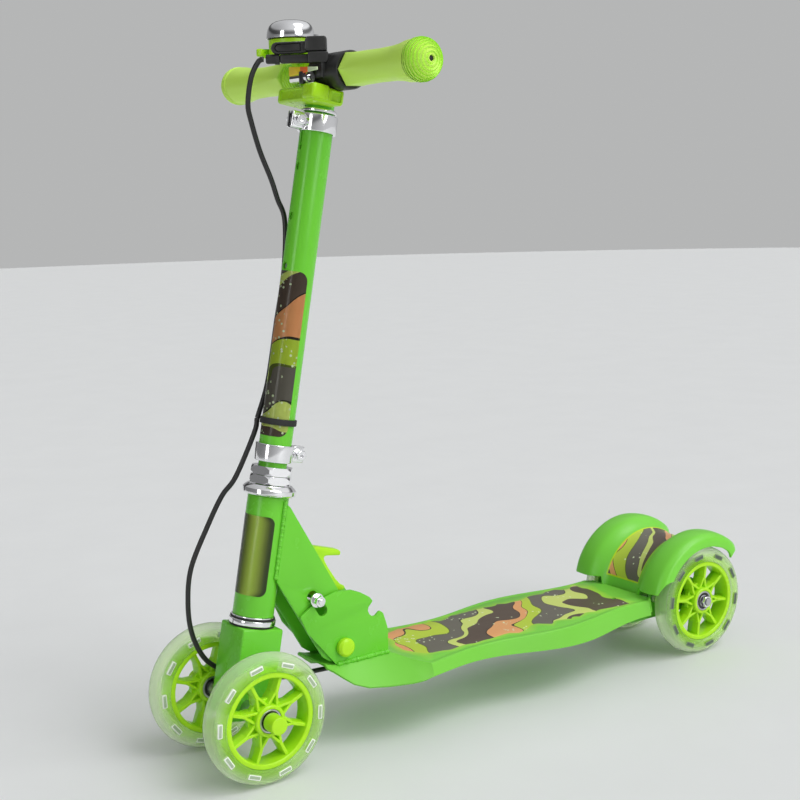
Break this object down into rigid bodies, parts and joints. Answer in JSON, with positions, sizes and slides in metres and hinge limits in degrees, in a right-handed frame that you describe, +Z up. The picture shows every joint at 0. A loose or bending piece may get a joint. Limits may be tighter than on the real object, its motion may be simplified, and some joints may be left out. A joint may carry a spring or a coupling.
{
  "type": "folding kick scooter",
  "caption": "Folding kick scooter: clear tyres on spoked cores, waisted deck, hinged neck, telescoping upright with grips, bell and brake lever, and a rear fender brake.",
  "frame": {"origin": "on the ground, midway between the axles and between the wheels", "axes": "+X to the rider's left, -Y forward, +Z up"},
  "size_m": [0.334, 0.6724, 0.6745],
  "materials": {
    "powder_green": "satin powder coat",
    "powder_dark_green": "satin powder coat",
    "fender_green": "moulded",
    "lime_plastic": "moulded",
    "lime_rubber": "soft moulded",
    "clear_tyre": "clear soft plastic",
    "chrome": "polished plating",
    "steel": "turned",
    "black_plastic": "moulded",
    "black_rubber": "matt"
  },
  "bodies": {
    "deck": {"deck_plate": "powder_green", "left_cheek": "powder_green", "right_cheek": "powder_green", "pivot_bolt": "steel", "left_pivot_cap": "lime_plastic", "right_pivot_cap": "lime_plastic", "rear_bracket": "powder_dark_green", "rear_axle": "steel", "left_axle_nut": "chrome", "right_axle_nut": "chrome", "fender_pin": "steel", "deck_cable": "black_rubber"},
    "fender": {"rear_fender": "fender_green", "brake_pad_bar": "black_rubber"},
    "neck": {"neck_frame": "powder_green", "head_tube": "powder_green", "lower_bearing": "chrome", "upper_bearing": "chrome"},
    "latch": {"lock_bolt": "chrome", "release_lever": "lime_plastic"},
    "steering": {"front_truck": "powder_green", "adjusting_nut": "chrome", "lock_nut": "chrome", "upright_tube": "powder_green", "lower_clamp": "chrome", "lower_clamp_bolt": "chrome", "top_clamp": "chrome", "top_clamp_bolt": "chrome", "cable_band": "black_rubber", "front_axle": "steel", "left_axle_cap": "lime_plastic", "right_axle_cap": "lime_plastic", "stem_cable": "black_rubber"},
    "handlebar": {"inner_tube": "powder_green", "t_joint": "lime_plastic", "handlebar_tube": "chrome", "left_grip": "lime_rubber", "right_grip": "lime_rubber", "brake_perch": "black_plastic", "perch_bolt": "chrome", "lever_pin": "steel", "barrel_adjuster": "black_plastic", "bell_base": "lime_plastic", "bell_dome": "chrome", "bar_cable": "black_rubber"},
    "hand_lever": {"brake_lever": "black_plastic"},
    "bell_tab": {"bell_striker": "lime_plastic"},
    "height_button": {"snap_button": "steel"},
    "front_left_wheel": {"front_left_tyre": "clear_tyre", "front_left_core": "lime_plastic", "front_left_bearings": "steel"},
    "front_right_wheel": {"front_right_tyre": "clear_tyre", "front_right_core": "lime_plastic", "front_right_bearings": "steel"},
    "rear_left_wheel": {"rear_left_tyre": "clear_tyre", "rear_left_core": "lime_plastic", "rear_left_bearings": "steel"},
    "rear_right_wheel": {"rear_right_tyre": "clear_tyre", "rear_right_core": "lime_plastic", "rear_right_bearings": "steel"}
  },
  "joints": [
    {"name": "fold", "type": "hinge", "parent": "deck", "child": "neck", "pos_m": [0, -0.1717, 0.0951], "axis": [-1, 0, 0], "range_deg": [0, 79.5], "deforming": ["deck_cable"]},
    {"name": "lock_drop", "type": "slide", "parent": "neck", "child": "latch", "axis": [0, -0.4909, 0.8712], "range_m": [-0.0135, 0]},
    {"name": "steer", "type": "hinge", "parent": "neck", "child": "steering", "pos_m": [0, -0.2555, 0.1319], "axis": [0, 0.1956, 0.9807], "range_deg": [-20, 20], "deforming": ["stem_cable"]},
    {"name": "height", "type": "slide", "parent": "steering", "child": "handlebar", "axis": [0, 0.1956, 0.9807], "range_m": [0, 0.0903], "deforming": ["bar_cable"]},
    {"name": "button_press", "type": "slide", "parent": "handlebar", "child": "height_button", "axis": [0, -0.9807, 0.1956], "range_m": [0, 0.0035], "stiffness_N_per_m": 400},
    {"name": "fender_press", "type": "hinge", "parent": "deck", "child": "fender", "pos_m": [0, 0.223, 0.068], "axis": [-1, 0, 0], "range_deg": [0, 2.5], "stiffness_Nm_per_rad": 12, "springref_deg": -1.15},
    {"name": "brake_squeeze", "type": "hinge", "parent": "handlebar", "child": "hand_lever", "pos_m": [0.021, -0.176, 0.642], "axis": [0, 0, -1], "range_deg": [0, 20.1], "stiffness_Nm_per_rad": 0.05},
    {"name": "bell_flick", "type": "hinge", "parent": "handlebar", "child": "bell_tab", "pos_m": [-0.0445, -0.1915, 0.643], "axis": [0, 0, 1], "range_deg": [0, 20], "stiffness_Nm_per_rad": 0.02},
    {"name": "front_left_spin", "type": "hinge", "parent": "steering", "child": "front_left_wheel", "pos_m": [0.054, -0.2762, 0.06], "axis": [1, 0, 0], "continuous": true},
    {"name": "front_right_spin", "type": "hinge", "parent": "steering", "child": "front_right_wheel", "pos_m": [-0.054, -0.2762, 0.06], "axis": [1, 0, 0], "continuous": true},
    {"name": "rear_left_spin", "type": "hinge", "parent": "deck", "child": "rear_left_wheel", "pos_m": [0.0545, 0.2762, 0.06], "axis": [1, 0, 0], "continuous": true},
    {"name": "rear_right_spin", "type": "hinge", "parent": "deck", "child": "rear_right_wheel", "pos_m": [-0.0545, 0.2762, 0.06], "axis": [1, 0, 0], "continuous": true}
  ],
  "couplings": [
    {"joint": "brake_squeeze", "follows": "fender_press", "ratio": 8}
  ]
}
